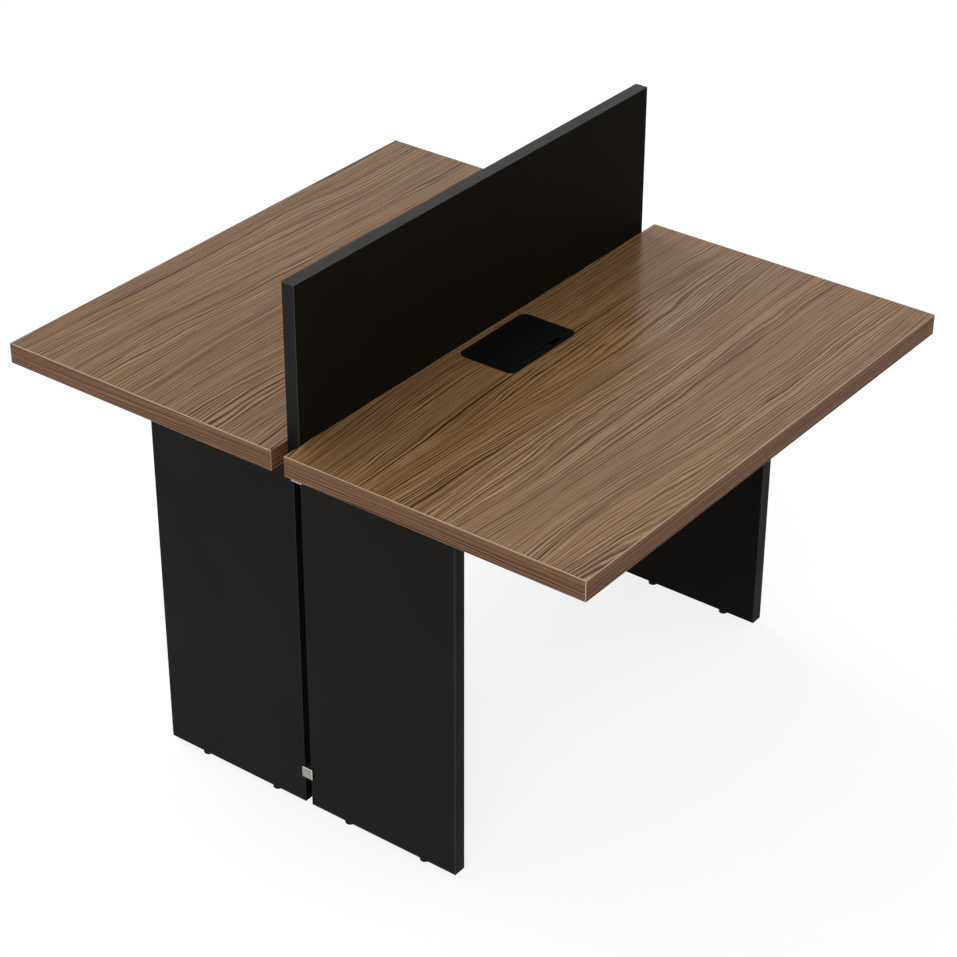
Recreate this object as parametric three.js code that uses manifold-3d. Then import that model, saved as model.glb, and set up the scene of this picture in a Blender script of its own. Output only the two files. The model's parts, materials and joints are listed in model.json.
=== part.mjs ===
// Benching desk for two: two worktops back to back on four leg panels, with a divider between them.
// Millimetres, +Z up. The origin is on the floor under the middle of the desk, and +X runs along the divider.
// The near place faces +Y and the far place faces -Y. Left and right are those of the person at that place.

import * as THREE from 'three';
import { mergeVertices } from 'three/addons/utils/BufferGeometryUtils.js';
import Module from 'manifold-3d';

// Worktops
const DESK_HEIGHT = 740;
const WORKTOP_LENGTH = 1050;
const WORKTOP_DEPTH = 586;
const WORKTOP_THICKNESS = 38;
const WORKTOP_BAND = 2;

// Divider, which stands in the slot between the worktops
const DIVIDER_INSET = 40;
const DIVIDER_RISE = 286;
const DIVIDER_THICKNESS = 25;
const DIVIDER_BAND = 1;
const DIVIDER_CLEARANCE = 1.5;

// Leg panels
const LEG_INSET = 45;
const LEG_WIDTH = 314;
const LEG_THICKNESS = 25;
const LEG_BAND = 2;
const LEG_GAP = 14;

// Levelling feet: a pad, the threaded stud that stands in it and the insert nut in the panel
const FOOT_INSET = 75;
const FOOT_STANDOFF = 10;
const FOOT_TRAVEL = 12;
const STUD_DIAMETER = 8;
const STUD_CHAMFER = 0.8;
const STUD_TIP_ROOM = 2;
const NUT_WALL = 2;
const NUT_LENGTH = 16;
const PAD_FLOOR = 4;
const PAD_RIM_HEIGHT = 3;
const PAD_RIM_WIDTH = 2;
const PAD_SHOULDER = 2.5;
const PAD_CHAMFER = 0.8;
const HUB_WALL = 2.7;

// Connector clips in the gap between the two leg panels of an end
const CLIP_HEIGHT = 21;
const CLIP_LIP = 4;
const CLIP_FLANGE = 2.5;
const CLIP_LOWER_DISTANCE = 66;
const CLIP_UPPER_DISTANCE = 27;

// Cable ports
const PORT_LENGTH = 188;
const PORT_WIDTH = 117;
const PORT_RADIUS = 15;
const PORT_SETBACK = 15;
const FLANGE_THICKNESS = 1.5;
const FLANGE_OVERLAP = 5.5;
const SLEEVE_WALL = 2.5;
const SLEEVE_DEPTH = 34;
const SLEEVE_RADIUS = 6;
const POCKET_RADIUS = 3;
const LEDGE_WIDTH = 6;
const LID_THICKNESS = 4;
const LID_CLEARANCE = 1;
const HINGE_SETBACK = 4;
const PIVOT_DIAMETER = 2;
const PIVOT_ENGAGEMENT = 1.5;
const CABLE_SLOT_LENGTH = 116;
const CABLE_SLOT_WIDTH = 10;
const CABLE_SLOT_RADIUS = 4;

// Modesty panels
const MODESTY_HEIGHT = 185;
const MODESTY_THICKNESS = 18;
const MODESTY_PORT_ROOM = 8;

// Steel fittings under the worktops
const BRACKET_LEAF = 40;
const BRACKET_WIDTH = 30;
const BRACKET_THICKNESS = 3;
const BRACKET_SETBACK = 60;
const BRIDGE_LENGTH = 140;
const BRIDGE_WIDTH = 100;
const BRIDGE_THICKNESS = 3;
const BRIDGE_RADIUS = 12;
const BRIDGE_SPACING = 600;

// Clearances: between pieces that move on each other, between fixed pieces, and under what rests on a stop
const RUNNING_CLEARANCE = 0.3;
const FIXED_CLEARANCE = 0.2;
const REST_GAP = 0.3;

// Facets of round faces, and how far a cutting solid runs past the face it cuts
const ROUND_SIDES = 16;
const CORNER_STEPS = 6;
const CUT_MARGIN = 1;

// Levels above the floor
const legBottom = FOOT_STANDOFF;
const underside = DESK_HEIGHT - WORKTOP_THICKNESS;
const dividerTop = DESK_HEIGHT + DIVIDER_RISE;

// Distances from the middle of the desk
const worktopRear = DIVIDER_THICKNESS / 2 + DIVIDER_CLEARANCE;
const worktopFront = worktopRear + WORKTOP_DEPTH;
const worktopEnd = WORKTOP_LENGTH / 2;
const legRear = LEG_GAP / 2;
const legFront = legRear + LEG_WIDTH;
const legOuterFace = worktopEnd - LEG_INSET;
const legInnerFace = legOuterFace - LEG_THICKNESS;
const legMiddle = (legOuterFace + legInnerFace) / 2;
const portMiddle = worktopRear + PORT_SETBACK + PORT_WIDTH / 2;
const dividerEnd = worktopEnd - DIVIDER_INSET;
const modestyRear = portMiddle + PORT_WIDTH / 2 + MODESTY_PORT_ROOM;

// Foot radii
const studRadius = STUD_DIAMETER / 2;
const threadRadius = studRadius + RUNNING_CLEARANCE;
const nutRadius = threadRadius + NUT_WALL;
const hubRadius = threadRadius + HUB_WALL;
const padRadius = hubRadius + PAD_RIM_WIDTH;
const studReach = NUT_LENGTH + FOOT_TRAVEL;

// Port sizes, with heights counted from the top face of the worktop
const sleeveLength = PORT_LENGTH - 2 * FLANGE_OVERLAP;
const sleeveWidth = PORT_WIDTH - 2 * FLANGE_OVERLAP;
const pocketLength = sleeveLength - 2 * SLEEVE_WALL;
const pocketWidth = sleeveWidth - 2 * SLEEVE_WALL;
const lidLength = pocketLength - 2 * LID_CLEARANCE;
const lidWidth = pocketWidth - 2 * LID_CLEARANCE;
const lidBottom = FLANGE_THICKNESS - LID_THICKNESS;
const ledgeLevel = lidBottom - REST_GAP;
const pivotLevel = FLANGE_THICKNESS - LID_THICKNESS / 2;
const pivotLine = pocketWidth / 2 - HINGE_SETBACK;

const WALNUT = { color: 0x8a6548, roughness: 0.5, metalness: 0 };
const WALNUT_EDGE = { color: 0x6d4a36, roughness: 0.5, metalness: 0 };
const BLACK_BOARD = { color: 0x1d1c1a, roughness: 0.6, metalness: 0 };
const BLACK_EDGE = { color: 0x2e3032, roughness: 0.5, metalness: 0 };
const BLACK_PLASTIC = { color: 0x121110, roughness: 0.45, metalness: 0 };
const BRIGHT_METAL = { color: 0xc4c4c2, roughness: 0.35, metalness: 1 };

const wasm = await Module();
wasm.setup();

// Booleans

function toSolid(geometry) {
  const bare = geometry.clone();
  bare.deleteAttribute('normal');
  bare.deleteAttribute('uv');
  const welded = mergeVertices(bare);
  const vertProperties = new Float32Array(welded.attributes.position.array);
  const triVerts = new Uint32Array(welded.index.array);
  return new wasm.Manifold(new wasm.Mesh({ numProp: 3, vertProperties, triVerts }));
}

function toGeometry(solid) {
  const { vertProperties, triVerts } = solid.getMesh();
  const indexed = new THREE.BufferGeometry();
  indexed.setAttribute('position', new THREE.BufferAttribute(vertProperties, 3));
  indexed.setIndex(new THREE.BufferAttribute(triVerts, 1));
  const geometry = indexed.toNonIndexed();
  geometry.computeVertexNormals();
  return geometry;
}

function join(first, ...others) {
  return toGeometry(others.reduce((sum, other) => sum.add(toSolid(other)), toSolid(first)));
}

function cut(first, ...others) {
  return toGeometry(others.reduce((rest, other) => rest.subtract(toSolid(other)), toSolid(first)));
}

function common(first, second) {
  return toGeometry(toSolid(first).intersect(toSolid(second)));
}

// Basic shapes

function block(xs, ys, zs) {
  const [length, width, height] = [xs, ys, zs].map(([low, high]) => high - low);
  const [x, y, z] = [xs, ys, zs].map(([low, high]) => (low + high) / 2);
  return new THREE.BoxGeometry(length, width, height).translate(x, y, z);
}

function roundedRectangle(length, width, radius) {
  const x = length / 2 - radius;
  const y = width / 2 - radius;
  const quarter = Math.PI / 2;
  const outline = new THREE.Shape();
  outline.absarc(x, y, radius, 0, quarter);
  outline.absarc(-x, y, radius, quarter, 2 * quarter);
  outline.absarc(-x, -y, radius, 2 * quarter, 3 * quarter);
  outline.absarc(x, -y, radius, 3 * quarter, 4 * quarter);
  return outline;
}

function prism(outline, bottom, top) {
  const options = { depth: top - bottom, bevelEnabled: false, curveSegments: CORNER_STEPS };
  return new THREE.ExtrudeGeometry(outline, options).translate(0, 0, bottom);
}

function roundedPlate(length, width, radius, bottom, top) {
  return prism(roundedRectangle(length, width, radius), bottom, top);
}

function polygon(points) {
  return new THREE.Shape(points.map(([x, y]) => new THREE.Vector2(x, y)));
}

// A turned piece about the vertical axis, from its profile of radius and height
function turned(profile) {
  const points = profile.map(([radius, height]) => new THREE.Vector2(radius, height));
  return new THREE.LatheGeometry(points, ROUND_SIDES).rotateX(Math.PI / 2);
}

function uprightRod(radius, bottom, top) {
  const rod = new THREE.CylinderGeometry(radius, radius, top - bottom, ROUND_SIDES).rotateX(Math.PI / 2);
  return rod.translate(0, 0, (bottom + top) / 2);
}

function lengthwiseRod(radius, start, end) {
  const rod = new THREE.CylinderGeometry(radius, radius, end - start, ROUND_SIDES).rotateZ(Math.PI / 2);
  return rod.translate((start + end) / 2, 0, 0);
}

function piece(name, geometry, finish) {
  const mesh = new THREE.Mesh(geometry, new THREE.MeshStandardMaterial(finish));
  mesh.name = name;
  return mesh;
}

function group(...children) {
  return new THREE.Group().add(...children);
}

// Worktop of one place: a board with the port's cut-out, banded on its front and both ends

function worktop(place) {
  const boardFront = -worktopFront + WORKTOP_BAND;
  const boardEnd = worktopEnd - WORKTOP_BAND;
  const heights = [underside, DESK_HEIGHT];
  const ends = [boardFront, -worktopRear];
  const slab = block([-boardEnd, boardEnd], ends, heights);
  const cutOut = roundedPlate(
    sleeveLength + 2 * FIXED_CLEARANCE,
    sleeveWidth + 2 * FIXED_CLEARANCE,
    SLEEVE_RADIUS + FIXED_CLEARANCE,
    underside - CUT_MARGIN,
    DESK_HEIGHT + CUT_MARGIN,
  ).translate(0, -portMiddle, 0);
  const frontBand = block([-worktopEnd, worktopEnd], [-worktopFront, boardFront], heights);
  return group(
    piece(`${place}_worktop_board`, cut(slab, cutOut), WALNUT),
    piece(`${place}_worktop_front_band`, frontBand, WALNUT_EDGE),
    piece(`${place}_worktop_left_band`, block([-worktopEnd, -boardEnd], ends, heights), WALNUT_EDGE),
    piece(`${place}_worktop_right_band`, block([boardEnd, worktopEnd], ends, heights), WALNUT_EDGE),
  );
}

// Cable port: a frame let into the worktop, and a lid that lifts on two pivots at its rear edge

function pivotPair(radius, start, end) {
  return [-1, 1].map((side) => {
    const [low, high] = [side * start, side * end].sort((a, b) => a - b);
    return lengthwiseRod(radius, low, high).translate(0, pivotLine, pivotLevel);
  });
}

function portFrame() {
  const bottom = -SLEEVE_DEPTH;
  const below = bottom - CUT_MARGIN;
  const above = FLANGE_THICKNESS + CUT_MARGIN;
  const passageLength = pocketLength - 2 * LEDGE_WIDTH;
  const reliefFront = pocketWidth / 2 - 2 * HINGE_SETBACK - LID_CLEARANCE;
  const flange = roundedPlate(PORT_LENGTH, PORT_WIDTH, PORT_RADIUS, 0, FLANGE_THICKNESS);
  const sleeve = roundedPlate(sleeveLength, sleeveWidth, SLEEVE_RADIUS, bottom, FLANGE_THICKNESS);
  const pocket = roundedPlate(pocketLength, pocketWidth, POCKET_RADIUS, ledgeLevel, above);
  const passage = roundedPlate(passageLength, pocketWidth, POCKET_RADIUS, below, above);
  const hingeRelief = common(
    roundedPlate(pocketLength, pocketWidth, POCKET_RADIUS, below, above),
    block([-sleeveLength, sleeveLength], [reliefFront, sleeveWidth], [below, above]),
  );
  const holeEnd = pocketLength / 2 + PIVOT_ENGAGEMENT + RUNNING_CLEARANCE;
  const pivotHoles = pivotPair(PIVOT_DIAMETER / 2 + RUNNING_CLEARANCE, lidLength / 2, holeEnd);
  return cut(join(flange, sleeve), pocket, passage, hingeRelief, ...pivotHoles);
}

function portLid() {
  const cornerRadius = Math.max(POCKET_RADIUS - LID_CLEARANCE, LID_CLEARANCE);
  const plate = roundedPlate(lidLength, lidWidth, cornerRadius, lidBottom, FLANGE_THICKNESS);
  const cableSlot = roundedPlate(
    CABLE_SLOT_LENGTH,
    2 * CABLE_SLOT_WIDTH,
    CABLE_SLOT_RADIUS,
    lidBottom - CUT_MARGIN,
    FLANGE_THICKNESS + CUT_MARGIN,
  ).translate(0, -lidWidth / 2, 0);
  const pivotRoot = lidLength / 2 - CUT_MARGIN;
  const pivots = pivotPair(PIVOT_DIAMETER / 2, pivotRoot, pocketLength / 2 + PIVOT_ENGAGEMENT);
  return join(cut(plate, cableSlot), ...pivots);
}

function cablePort(place) {
  const port = group(
    piece(`${place}_port_frame`, portFrame(), BLACK_PLASTIC),
    piece(`${place}_port_lid`, portLid(), BLACK_PLASTIC),
  );
  port.position.set(0, -portMiddle, DESK_HEIGHT);
  return port;
}

// Levelling foot: the pad stands on the floor, and its stud turns in the nut to raise or lower the panel

function footPad() {
  const top = FOOT_STANDOFF - REST_GAP;
  return turned([
    [0, 0],
    [padRadius - PAD_CHAMFER, 0],
    [padRadius, PAD_CHAMFER],
    [padRadius, PAD_RIM_HEIGHT],
    [hubRadius, PAD_RIM_HEIGHT + PAD_SHOULDER],
    [hubRadius, top],
    [threadRadius, top],
    [threadRadius, PAD_FLOOR],
    [0, PAD_FLOOR],
  ]);
}

function footStud() {
  const bottom = PAD_FLOOR + REST_GAP;
  const top = legBottom + studReach;
  return turned([
    [0, bottom],
    [studRadius - STUD_CHAMFER, bottom],
    [studRadius, bottom + STUD_CHAMFER],
    [studRadius, top - STUD_CHAMFER],
    [studRadius - STUD_CHAMFER, top],
    [0, top],
  ]);
}

function footNut() {
  const top = legBottom + NUT_LENGTH;
  return turned([
    [threadRadius, legBottom],
    [nutRadius, legBottom],
    [nutRadius, top],
    [threadRadius, top],
    [threadRadius, legBottom],
  ]);
}

function footBore() {
  const top = legBottom + studReach + STUD_TIP_ROOM;
  return uprightRod(nutRadius + FIXED_CLEARANCE, legBottom - CUT_MARGIN, top);
}

function levellingFoot(name) {
  return group(
    piece(`${name}_foot_pad`, footPad(), BLACK_PLASTIC),
    piece(`${name}_foot_stud`, footStud(), BRIGHT_METAL),
    piece(`${name}_foot_nut`, footNut(), BRIGHT_METAL),
  );
}

// Leg of one end of a place: a panel banded on its front edge, its two feet and the bracket under the worktop

function legBracket() {
  const outline = polygon([
    [0, 0],
    [0, -BRACKET_LEAF],
    [BRACKET_THICKNESS, -BRACKET_LEAF],
    [BRACKET_THICKNESS, -BRACKET_THICKNESS],
    [BRACKET_LEAF, -BRACKET_THICKNESS],
    [BRACKET_LEAF, 0],
  ]);
  return prism(outline, -BRACKET_WIDTH / 2, BRACKET_WIDTH / 2).rotateX(Math.PI / 2);
}

function leg(place, end, side) {
  const name = `${place}_${end}`;
  const thickness = [side * legInnerFace, side * legOuterFace].sort((a, b) => a - b);
  const heights = [legBottom, underside];
  const footLines = { front: -legFront + FOOT_INSET, rear: -legRear - FOOT_INSET };
  const feet = Object.entries(footLines).map(([line, y]) => {
    const foot = levellingFoot(`${name}_${line}`);
    foot.position.set(side * legMiddle, y, 0);
    return foot;
  });
  const bores = Object.values(footLines).map((y) => footBore().translate(side * legMiddle, y, 0));
  const panel = cut(block(thickness, [-legFront + LEG_BAND, -legRear], heights), ...bores);
  const band = block(thickness, [-legFront, -legFront + LEG_BAND], heights);
  const bracket = piece(`${name}_leg_bracket`, legBracket(), BRIGHT_METAL);
  bracket.position.set(side * legInnerFace, -legFront + BRACKET_SETBACK, underside);
  bracket.rotation.z = side > 0 ? Math.PI : 0;
  return group(
    piece(`${name}_leg_panel`, panel, BLACK_BOARD),
    piece(`${name}_leg_band`, band, BLACK_EDGE),
    bracket,
    ...feet,
  );
}

// Modesty panel between the legs of a place, in front of the cables that drop from the port

function modestyPanel(place) {
  const depths = [-modestyRear - MODESTY_THICKNESS, -modestyRear];
  const panel = block([-legInnerFace, legInnerFace], depths, [underside - MODESTY_HEIGHT, underside]);
  return piece(`${place}_modesty_panel`, panel, BLACK_BOARD);
}

function deskPlace(place) {
  return group(
    worktop(place),
    cablePort(place),
    leg(place, 'left', -1),
    leg(place, 'right', 1),
    modestyPanel(place),
  );
}

// Divider: a board on the leg panels and the bridging plates, banded on its top and both ends

function divider() {
  const boardEnd = dividerEnd - DIVIDER_BAND;
  const boardTop = dividerTop - DIVIDER_BAND;
  const faces = [-DIVIDER_THICKNESS / 2, DIVIDER_THICKNESS / 2];
  const heights = [underside, boardTop];
  return group(
    piece('divider_board', block([-boardEnd, boardEnd], faces, heights), BLACK_BOARD),
    piece('divider_top_band', block([-dividerEnd, dividerEnd], faces, [boardTop, dividerTop]), BLACK_EDGE),
    piece('divider_left_band', block([-dividerEnd, -boardEnd], faces, heights), BLACK_EDGE),
    piece('divider_right_band', block([boardEnd, dividerEnd], faces, heights), BLACK_EDGE),
  );
}

// Connector clips: short H-shaped pieces that hold the two leg panels of an end together

function connectorClip() {
  const web = LEG_GAP / 2 - RUNNING_CLEARANCE;
  const lip = LEG_GAP / 2 + CLIP_LIP;
  const inside = LEG_THICKNESS / 2 + RUNNING_CLEARANCE;
  const outside = inside + CLIP_FLANGE;
  const outline = polygon([
    [outside, -lip],
    [outside, lip],
    [inside, lip],
    [inside, web],
    [-inside, web],
    [-inside, lip],
    [-outside, lip],
    [-outside, -lip],
    [-inside, -lip],
    [-inside, -web],
    [inside, -web],
    [inside, -lip],
  ]);
  return prism(outline, -CLIP_HEIGHT / 2, CLIP_HEIGHT / 2);
}

function connectorClips() {
  const levels = { lower: legBottom + CLIP_LOWER_DISTANCE, upper: underside - CLIP_UPPER_DISTANCE };
  const clips = new THREE.Group();
  for (const [end, side] of Object.entries({ left: -1, right: 1 })) {
    for (const [name, level] of Object.entries(levels)) {
      const clip = piece(`${end}_${name}_clip`, connectorClip(), BRIGHT_METAL);
      clip.position.set(side * legMiddle, 0, level);
      clips.add(clip);
    }
  }
  return clips;
}

// Bridging plates under the slot, which join the worktops and carry the divider

function bridgingPlates() {
  const plates = new THREE.Group();
  for (const [end, side] of Object.entries({ left: -1, right: 1 })) {
    const outline = roundedPlate(BRIDGE_LENGTH, BRIDGE_WIDTH, BRIDGE_RADIUS, -BRIDGE_THICKNESS, 0);
    const plate = piece(`${end}_bridging_plate`, outline, BRIGHT_METAL);
    plate.position.set((side * BRIDGE_SPACING) / 2, 0, underside);
    plates.add(plate);
  }
  return plates;
}

const farPlace = deskPlace('far');
farPlace.rotation.z = Math.PI;

const bench = group(deskPlace('near'), farPlace, divider(), connectorClips(), bridgingPlates());

export default bench;
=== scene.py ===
import json
import math

import bmesh
import bpy
from mathutils import Matrix, Vector
from mathutils.geometry import tessellate_polygon


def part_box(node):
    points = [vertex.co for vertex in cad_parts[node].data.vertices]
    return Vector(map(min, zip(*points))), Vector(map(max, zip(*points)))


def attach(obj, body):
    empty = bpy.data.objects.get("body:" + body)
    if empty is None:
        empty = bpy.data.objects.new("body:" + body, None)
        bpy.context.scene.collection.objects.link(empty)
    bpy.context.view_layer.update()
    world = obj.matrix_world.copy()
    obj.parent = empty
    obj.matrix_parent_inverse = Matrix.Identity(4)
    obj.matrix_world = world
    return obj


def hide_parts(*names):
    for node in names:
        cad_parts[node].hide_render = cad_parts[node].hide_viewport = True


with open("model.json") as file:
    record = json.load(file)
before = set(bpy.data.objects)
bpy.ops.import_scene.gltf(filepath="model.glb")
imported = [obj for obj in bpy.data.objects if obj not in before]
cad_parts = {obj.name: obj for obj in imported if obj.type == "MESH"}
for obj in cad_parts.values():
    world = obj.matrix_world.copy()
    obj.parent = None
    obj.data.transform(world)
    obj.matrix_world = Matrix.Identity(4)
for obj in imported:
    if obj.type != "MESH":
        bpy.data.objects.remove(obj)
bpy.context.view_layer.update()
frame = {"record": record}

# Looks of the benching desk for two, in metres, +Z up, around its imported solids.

MM = 0.001

# Camera
IMAGE_PIXELS = 957
FOCAL_PIXELS = 2659.7
SENSOR_WIDTH = 36.0
CAMERA_TARGET = Vector((-0.0140, -0.0145, 0.450))
CAMERA_DISTANCE = 4.7058
CAMERA_AZIMUTH = math.radians(-52.930)
CAMERA_ELEVATION = math.radians(31.546)
CAMERA_ROLL = math.radians(0.195)

# Light
DOME_LEVEL = 0.54
FLOOR_SIZE = 60.0
FLOOR_BOUNCE = 0.80
FLOOR_WHITE = 0.82
FLOOR_SHADE = 0.28

# Rounds on edges
BAND_ARRIS = 1.1 * MM
THIN_BAND_ARRIS = 0.95 * MM
PANEL_EASE = 0.6 * MM
JOINT_EASE = 0.15 * MM
ARRIS_STEPS = 4
EASE_STEPS = 2
CORNER_STEPS = 10
SHARP_ANGLE = math.radians(50)
WELD_DISTANCE = 0.002 * MM

# Worktop cut-out and cable port
FLANGE_OVERLAP = 5.5 * MM
FLANGE_THICKNESS = 1.5 * MM
FLANGE_RADIUS = 15 * MM
FLANGE_EASE = 0.8 * MM
SLEEVE_WALL = 2.5 * MM
SLEEVE_RADIUS = 6 * MM
POCKET_RADIUS = 3 * MM
CUT_OUT_GAP = 0.2 * MM
LEDGE_WIDTH = 6 * MM
LID_THICKNESS = 4 * MM
LID_GAP = 1 * MM
LID_REST_GAP = 0.3 * MM
LID_EASE = 0.6 * MM
HINGE_SETBACK = 4 * MM
PIVOT_RADIUS = 1 * MM
PIVOT_HOLE_RADIUS = 1.3 * MM
CABLE_SLOT_LENGTH = 116 * MM
CABLE_SLOT_WIDTH = 10 * MM
CABLE_SLOT_RADIUS = 4 * MM
CABLE_SLOT_LIP = 1.5 * MM

# Levelling feet
ROUND_SIDES = 48
PAD_RIM_HEIGHT = 3.0 * MM
PAD_SHOULDER = 2.5 * MM
PAD_CHAMFER = 0.8 * MM
PAD_FLOOR = 4 * MM
HUB_RADIUS = 7 * MM
THREAD_PITCH = 1.25 * MM
THREAD_DEPTH = 0.68 * MM
THREAD_STEPS = 8
THREAD_SIDES = 32
SOCKET_RADIUS = 4.3 * MM
NUT_CHAMFER = 0.5 * MM
BORE_CLEARANCE = 0.2 * MM
BORE_HEIGHT = 30 * MM

# Fittings
CLIP_FLANGE = 2.5 * MM
CLIP_FACE_RADIUS = 1.0 * MM
CLIP_INNER_RADIUS = 0.5 * MM
CLIP_EASE = 0.9 * MM
CLIP_LIP = 4 * MM
CLIP_CLEARANCE = 0.3 * MM
BRACKET_THICKNESS = 3 * MM
BRACKET_BEND = 2 * MM
BRACKET_EDGE_RADIUS = 0.8 * MM
BRACKET_EASE = 0.5 * MM
PLATE_RADIUS = 12 * MM
PLATE_EASE = 0.5 * MM
SCREW_HEAD_RADIUS = 4.2 * MM
SCREW_HEAD_HEIGHT = 2.4 * MM
SCREW_RECESS_LENGTH = 4.6 * MM
SCREW_RECESS_WIDTH = 1.1 * MM
SCREW_RECESS_DEPTH = 1.5 * MM
BRACKET_SCREW_SPACING = 15 * MM
BRACKET_SCREW_REACH = 25 * MM
PLATE_SCREW_LENGTHWISE = 50 * MM
PLATE_SCREW_CROSSWISE = 33 * MM

scene = bpy.context.scene
record = frame["record"]
body_of_node = {node: body for body, nodes in record["behaviour"]["bodies"].items() for node in nodes}


# Meshes

def link(name, mesh, material):
    mesh.shade_smooth()
    mesh.set_sharp_from_angle(angle=SHARP_ANGLE)
    mesh.materials.clear()
    mesh.materials.append(material)
    piece = bpy.data.objects.new(name, mesh)
    scene.collection.objects.link(piece)
    normals = piece.modifiers.new("flat_faces_stay_flat", "WEIGHTED_NORMAL")
    normals.keep_sharp = True
    return piece


def to_mesh(name, bm):
    bmesh.ops.recalc_face_normals(bm, faces=bm.faces)
    mesh = bpy.data.meshes.new(name)
    bm.to_mesh(mesh)
    bm.free()
    return mesh


def dress(node, mesh, material):
    """The mesh stands for the node, on the node's body, with the given material."""
    piece = link(f"{node}_dressed", mesh, material)
    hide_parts(node)
    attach(piece, body_of_node[node])
    return piece


def face_name(normal):
    axis = max(range(3), key=lambda i: abs(normal[i]))
    return ("+" if normal[axis] > 0 else "-") + "xyz"[axis]


def board_mesh(name, low, high, arrises=(), arris=0.0, ease=JOINT_EASE):
    """A straight board. Each named arris, the two faces that meet there, is rounded, and the rest are eased."""
    bm = bmesh.new()
    bmesh.ops.create_cube(bm, size=1.0)
    place = Matrix.Translation((low + high) / 2) @ Matrix.Diagonal((*(high - low), 1.0))
    bmesh.ops.transform(bm, matrix=place, verts=bm.verts)
    bm.normal_update()
    wanted = {frozenset(pair) for pair in arrises}
    rounded = [e for e in bm.edges if frozenset(face_name(f.normal) for f in e.link_faces) in wanted]
    if rounded:
        bmesh.ops.bevel(bm, geom=rounded, offset=arris, segments=ARRIS_STEPS, profile=0.5, affect="EDGES")
        bm.normal_update()
    sharp = [e for e in bm.edges if e.calc_face_angle(0.0) > SHARP_ANGLE]
    bmesh.ops.bevel(bm, geom=sharp, offset=ease, segments=EASE_STEPS, profile=0.5, affect="EDGES")
    return to_mesh(name, bm)


def filleted(corners, steps=CORNER_STEPS):
    """A closed outline through (x, y, radius) corners, each rounded to its radius."""
    outline = []
    count = len(corners)
    for i, (x, y, radius) in enumerate(corners):
        corner = Vector((x, y))
        before = Vector(corners[i - 1][:2])
        after = Vector(corners[(i + 1) % count][:2])
        inward = (corner - before).normalized()
        outward = (after - corner).normalized()
        turn = math.atan2(inward.cross(outward), inward.dot(outward))
        if radius <= 0.0 or abs(turn) < 1e-6:
            outline.append(corner)
            continue
        side = 1.0 if turn > 0 else -1.0
        start = corner - inward * radius * math.tan(abs(turn) / 2)
        middle = start + Vector((-inward.y, inward.x)) * side * radius
        spoke = start - middle
        for k in range(steps + 1):
            swing = Matrix.Rotation(turn * k / steps, 2)
            outline.append(middle + swing @ spoke)
    return outline


def rectangle(length, width, radius, centre=(0.0, 0.0)):
    x, y = length / 2, width / 2
    cx, cy = centre
    corners = [(-x, -y), (x, -y), (x, y), (-x, y)]
    return filleted([(cx + px, cy + py, radius) for px, py in corners])


def inset(outline, distance):
    """The outline moved to its left by the distance, with mitred corners."""
    count = len(outline)
    moved = []
    for i, point in enumerate(outline):
        first = (point - outline[i - 1]).normalized()
        second = (outline[(i + 1) % count] - point).normalized()
        left = Vector((-first.y - second.y, first.x + second.x))
        moved.append(point + left * distance / (1.0 + first.dot(second)))
    return moved


def prism_into(bm, outlines, low, high, bottom_ease, top_ease):
    """An upright solid on an outline and its holes, with the ends of its walls eased by small rounds."""
    levels = []
    for k in range(EASE_STEPS + 1):
        angle = math.pi / 2 * k / EASE_STEPS
        levels.append((bottom_ease * (1 - math.sin(angle)), low + bottom_ease * (1 - math.cos(angle))))
    for k in range(EASE_STEPS, -1, -1):
        angle = math.pi / 2 * k / EASE_STEPS
        levels.append((top_ease * (1 - math.sin(angle)), high - top_ease * (1 - math.cos(angle))))
    caps = [[], []]
    for outline in outlines:
        rings = []
        for distance, level in levels:
            points = inset(outline, distance) if distance else outline
            rings.append([bm.verts.new((p.x, p.y, level)) for p in points])
        count = len(outline)
        for lower, upper in zip(rings, rings[1:]):
            for i in range(count):
                j = (i + 1) % count
                bm.faces.new((lower[i], lower[j], upper[j], upper[i]))
        caps[0].append(rings[0])
        caps[1].append(rings[-1])
    for loops in caps:
        flat = [v for loop in loops for v in loop]
        for triangle in tessellate_polygon([[v.co for v in loop] for loop in loops]):
            bm.faces.new([flat[i] for i in triangle])


def prism_mesh(name, outlines, low, high, bottom_ease=JOINT_EASE, top_ease=JOINT_EASE, place=None):
    bm = bmesh.new()
    prism_into(bm, outlines, low, high, bottom_ease, top_ease)
    if place is not None:
        bmesh.ops.transform(bm, matrix=place, verts=bm.verts)
    return to_mesh(name, bm)


def turned_mesh(name, profile, sides=ROUND_SIDES, place=None):
    """A turned solid about the upright axis. Its profile of (radius, height) closes on itself or on the axis."""
    bm = bmesh.new()
    rings = []
    for radius, height in profile:
        if radius <= 0.0:
            rings.append([bm.verts.new((0.0, 0.0, height))])
            continue
        angles = [2 * math.pi * i / sides for i in range(sides)]
        rings.append([bm.verts.new((radius * math.cos(a), radius * math.sin(a), height)) for a in angles])
    closed = profile[0][0] > 0.0
    pairs = list(zip(rings, rings[1:] + rings[:1])) if closed else list(zip(rings, rings[1:]))
    for lower, upper in pairs:
        for i in range(sides):
            j = (i + 1) % sides
            corners = [lower[i % len(lower)], lower[j % len(lower)], upper[j % len(upper)], upper[i % len(upper)]]
            bm.faces.new(list(dict.fromkeys(corners)))
    if place is not None:
        bmesh.ops.transform(bm, matrix=place, verts=bm.verts)
    return to_mesh(name, bm)


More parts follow.
